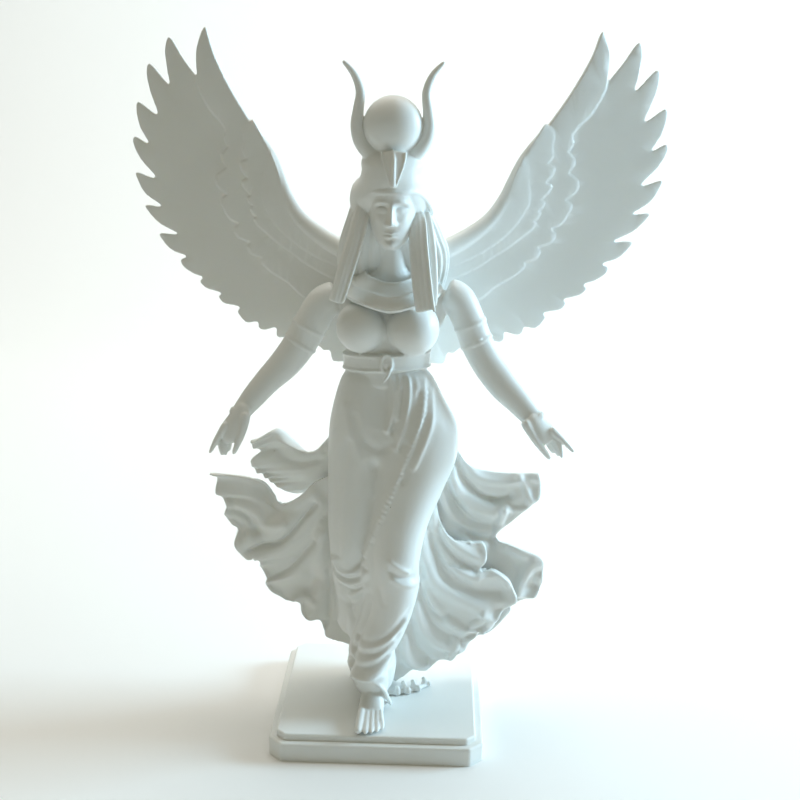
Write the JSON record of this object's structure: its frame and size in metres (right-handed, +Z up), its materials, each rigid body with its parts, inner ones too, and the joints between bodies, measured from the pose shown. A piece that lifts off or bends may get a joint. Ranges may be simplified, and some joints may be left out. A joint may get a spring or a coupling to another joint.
{
  "type": "winged goddess statue",
  "caption": "Winged goddess statue with horned disc headdress, spread feathered wings and windblown skirt, stepping forward on a stepped square plinth.",
  "frame": {"origin": "centre of the plinth's underside", "axes": "+Z up, the figure faces -Y, its left side is towards +X"},
  "size_m": [0.2305, 0.09, 0.2932],
  "materials": {
    "figure": "white satin moulded plastic",
    "plinth": "white satin moulded plastic"
  },
  "bodies": {
    "root": {"figure": "figure", "plinth": "plinth"}
  },
  "joints": []
}
